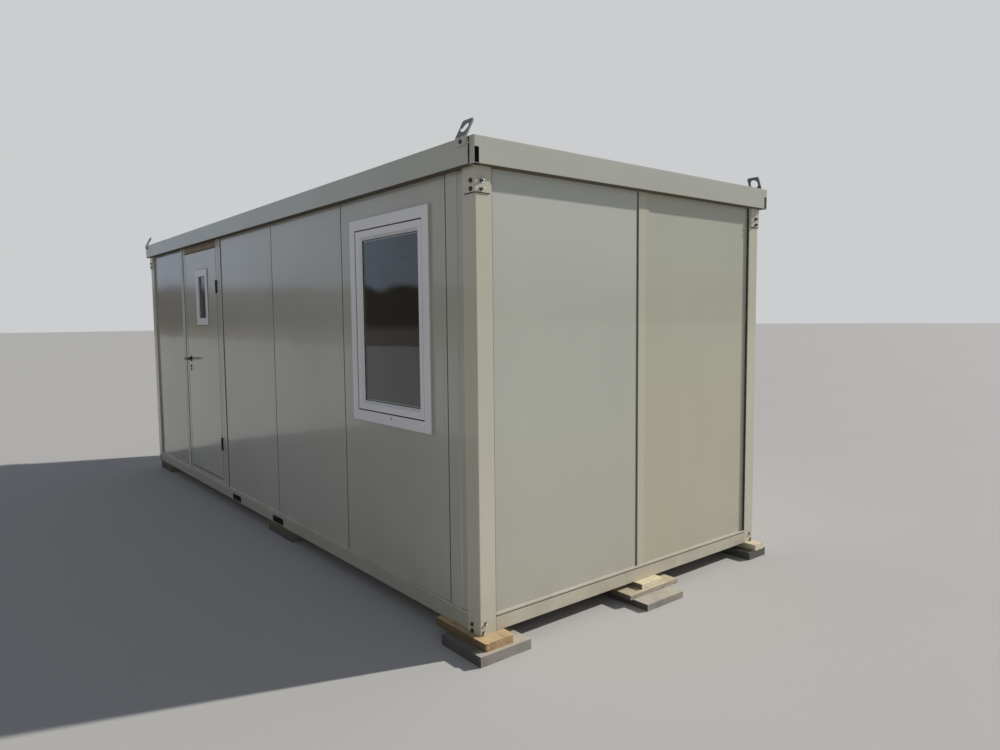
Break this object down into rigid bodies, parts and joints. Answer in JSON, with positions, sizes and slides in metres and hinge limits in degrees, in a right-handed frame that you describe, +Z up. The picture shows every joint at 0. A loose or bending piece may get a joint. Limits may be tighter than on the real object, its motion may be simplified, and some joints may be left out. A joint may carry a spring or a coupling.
{
  "type": "portable site cabin",
  "caption": "Flat-roofed portable site cabin of steel frame and sandwich panels, with a hinged door with a small window, a framed window, fork pockets and lifting lugs, standing on packers.",
  "frame": {"origin": "on the floor under the middle of the cabin's bounding box", "axes": "+X along the cabin from the door's end to the window's end, -Y out of the long wall with the door and the window, +Z up"},
  "size_m": [6.45, 2.563, 2.5971],
  "materials": {
    "cabin_paint": "glossy cream paint with light dirt",
    "window_white": "white window plastic",
    "inner_white": "white inner facing",
    "pane_glass": "clear sealed unit that looks dark from outside",
    "black_metal": "satin black",
    "dark_steel": "matt grey primer",
    "roof_steel": "galvanised sheet",
    "deck_board": "faced plywood",
    "packing_wood": "weathered sawn board",
    "paver_concrete": null
  },
  "bodies": {
    "cabin": {"base_beam_front": "cabin_paint", "base_beam_back": "cabin_paint", "base_beam_right": "cabin_paint", "base_beam_left": "cabin_paint", "fork_sleeves": "dark_steel", "floor_joists": "dark_steel", "floor_deck": "deck_board", "floor_sills": "cabin_paint", "column_front_right": "cabin_paint", "column_back_right": "cabin_paint", "column_front_left": "cabin_paint", "column_back_left": "cabin_paint", "corner_brackets": "cabin_paint", "lug_front_right": "cabin_paint", "lug_back_right": "cabin_paint", "lug_front_left": "cabin_paint", "lug_back_left": "cabin_paint", "roof_beam_front": "cabin_paint", "roof_beam_back": "cabin_paint", "roof_beam_right": "cabin_paint", "roof_beam_left": "cabin_paint", "roof_purlins": "dark_steel", "roof_sheet": "roof_steel", "ceiling_panel": "inner_white", "wall_front_window": "cabin_paint", "wall_front_plain": "cabin_paint", "wall_front_far": "cabin_paint", "wall_front_fillers": "cabin_paint", "wall_right": "cabin_paint", "wall_left": "cabin_paint", "wall_back": "cabin_paint", "door_frame": "cabin_paint", "hinge_frame_halves": "black_metal", "window_frame": "window_white", "window_sash": "window_white", "window_glass": "pane_glass", "packing_timbers": "packing_wood", "packing_pavers": "paver_concrete"},
    "door": {"door_leaf": "cabin_paint", "door_vision_frame": "window_white", "door_vision_glass": "pane_glass", "hinge_leaf_halves": "black_metal", "door_roses": "black_metal"},
    "lever": {"door_lever": "black_metal"}
  },
  "joints": [
    {"name": "door_hinge", "type": "hinge", "parent": "cabin", "child": "door", "pos_m": [-0.814, -1.1955, 1.268], "axis": [0, 0, 1], "range_deg": [0, 100]},
    {"name": "lever_turn", "type": "hinge", "parent": "door", "child": "lever", "pos_m": [-1.676, -1.1685, 1.297], "axis": [0, 1, 0], "range_deg": [0, 40], "stiffness_Nm_per_rad": 0.8}
  ]
}
